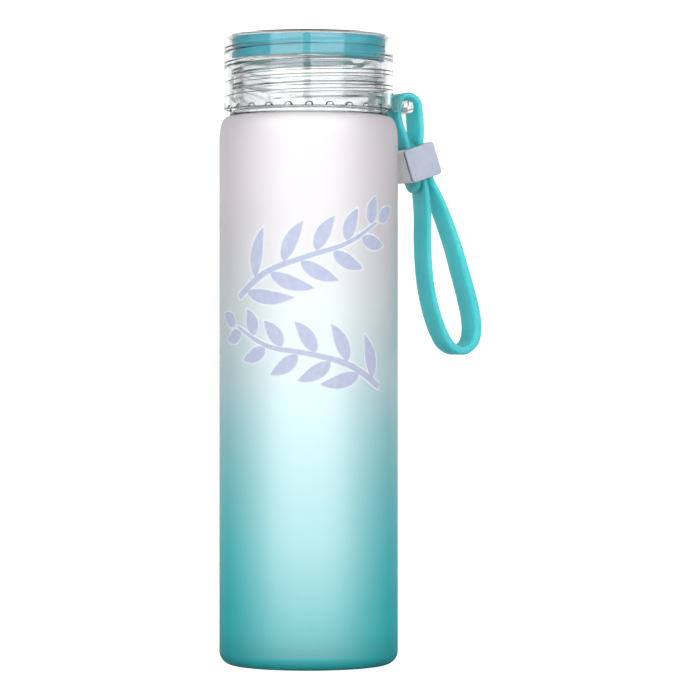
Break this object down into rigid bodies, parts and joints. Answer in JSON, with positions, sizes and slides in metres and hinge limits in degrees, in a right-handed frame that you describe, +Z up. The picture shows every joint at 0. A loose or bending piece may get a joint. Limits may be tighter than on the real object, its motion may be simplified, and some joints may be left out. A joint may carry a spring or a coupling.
{
  "type": "glass water bottle",
  "caption": "Tall straight glass bottle with a frosted colour-fade coat, clear screw cap, sealing ring and a looped silicone wrist strap held by a snap clip.",
  "frame": {"origin": "centre of the base on the bottle's axis, at the height of the surface it stands on", "axes": "+Z up along the bottle's axis, +X out towards the cap's lug and strap, the clip's cover faces -Y"},
  "size_m": [0.0988, 0.063, 0.2214],
  "materials": {
    "glass": "clear glass, frosted outside with a white lacquer that fades to teal towards the base; neck left clear",
    "cap_plastic": "clear, colourless, polished",
    "seal_silicone": "smooth translucent teal silicone",
    "strap_silicone": "matt soft-touch teal silicone",
    "clip_plastic": "fine matt pale lilac"
  },
  "bodies": {
    "bottle": {"glass_bottle": "glass"},
    "seal": {"seal_ring": "seal_silicone"},
    "cap": {"cap": "cap_plastic"},
    "strap": {"strap": "strap_silicone", "clip_base": "clip_plastic"},
    "clip_cover": {"clip_cover": "clip_plastic"}
  },
  "joints": [
    {"name": "cap_lift", "type": "slide", "parent": "bottle", "child": "seal", "axis": [0, 0, 1], "range_m": [0, 0.0262]},
    {"name": "cap_turn", "type": "hinge", "parent": "seal", "child": "cap", "pos_m": [0, 0, 0.208], "axis": [0, 0, 1], "range_deg": [0, 1800]},
    {"name": "strap_swing", "type": "hinge", "parent": "cap", "child": "strap", "pos_m": [0.037, 0, 0.1971], "axis": [0, -1, 0], "range_deg": [-6, 165]},
    {"name": "clip_cover_pull", "type": "slide", "parent": "strap", "child": "clip_cover", "axis": [0, -1, 0], "range_m": [0, 0.012]}
  ],
  "couplings": [
    {"joint": "cap_lift", "follows": "cap_turn", "m_per_rad": 0.00082761}
  ]
}
